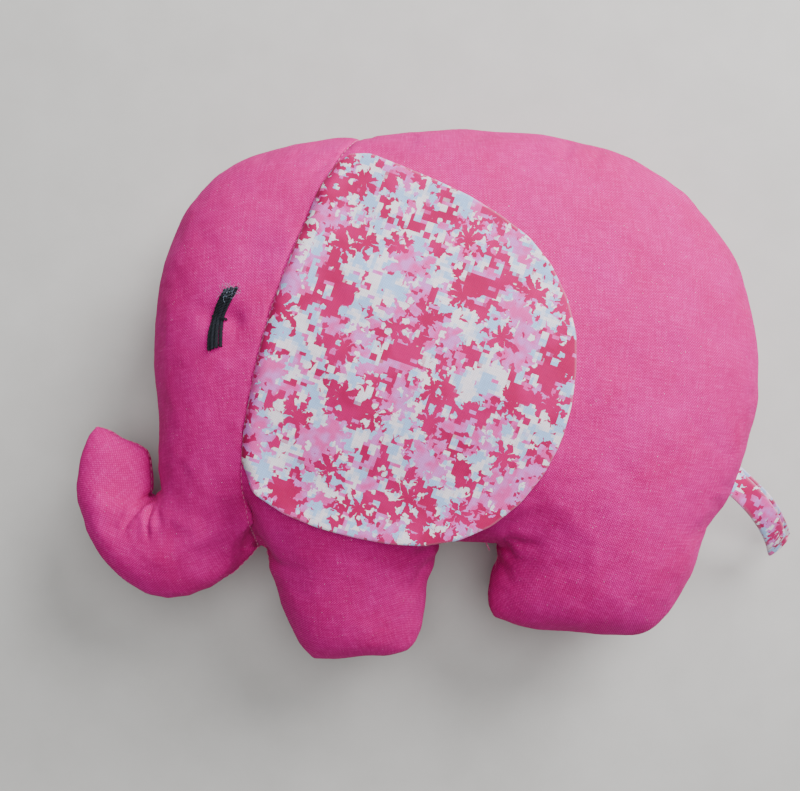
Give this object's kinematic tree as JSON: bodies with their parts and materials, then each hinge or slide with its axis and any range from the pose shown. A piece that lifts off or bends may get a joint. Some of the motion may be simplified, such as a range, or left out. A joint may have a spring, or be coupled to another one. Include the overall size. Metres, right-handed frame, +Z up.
{
  "type": "stuffed toy elephant",
  "caption": "Flat-seamed stuffed cotton elephant lying on its side, with a curled trunk, hinged printed ears, a folded strip tail and embroidered closed eyes.",
  "frame": {"origin": "middle of the footprint on the surface that the toy lies on", "axes": "+X from the trunk to the rump, +Y from the feet to the back, +Z up, square to the seam plane"},
  "size_m": [0.2728, 0.194, 0.0887],
  "materials": {
    "pink_cotton": "matte",
    "printed_cotton": "matte",
    "black_yarn": "matte",
    "pink_thread": "satin",
    "fibrefill": "matte"
  },
  "bodies": {
    "toy": {"near_head_panel": "pink_cotton", "near_body_panel": "pink_cotton", "far_head_panel": "pink_cotton", "far_body_panel": "pink_cotton", "trunk_stuffing": "fibrefill", "head_stuffing": "fibrefill", "body_stuffing": "fibrefill", "front_leg_stuffing": "fibrefill", "back_leg_stuffing": "fibrefill", "near_eye_strand_1": "black_yarn", "near_eye_strand_2": "black_yarn", "near_eye_strand_3": "black_yarn", "near_eye_strand_4": "black_yarn", "near_eye_tie": "black_yarn", "far_eye_strand_1": "black_yarn", "far_eye_strand_2": "black_yarn", "far_eye_strand_3": "black_yarn", "far_eye_strand_4": "black_yarn", "far_eye_tie": "black_yarn", "closing_stitches": "pink_thread"},
    "near_ear": {"near_ear_face": "printed_cotton", "near_ear_back": "printed_cotton"},
    "far_ear": {"far_ear_face": "printed_cotton", "far_ear_back": "printed_cotton"},
    "tail": {"tail_strip": "printed_cotton"}
  },
  "joints": [
    {"name": "near_ear_hinge", "type": "hinge", "parent": "toy", "child": "near_ear", "pos_m": [-0.062, 0.0247, 0.0805], "axis": [-0.2967, -0.9528, 0.0643], "range_deg": [0, 150]},
    {"name": "far_ear_hinge", "type": "hinge", "parent": "toy", "child": "far_ear", "pos_m": [-0.062, 0.0247, 0.0006], "axis": [0.2967, 0.9527, 0.0652], "range_deg": [0, 150]},
    {"name": "tail_hinge", "type": "hinge", "parent": "toy", "child": "tail", "pos_m": [0.1056, -0.0315, 0.04], "axis": [-0.3999, -0.9166, 0], "range_deg": [-50, 50]}
  ]
}
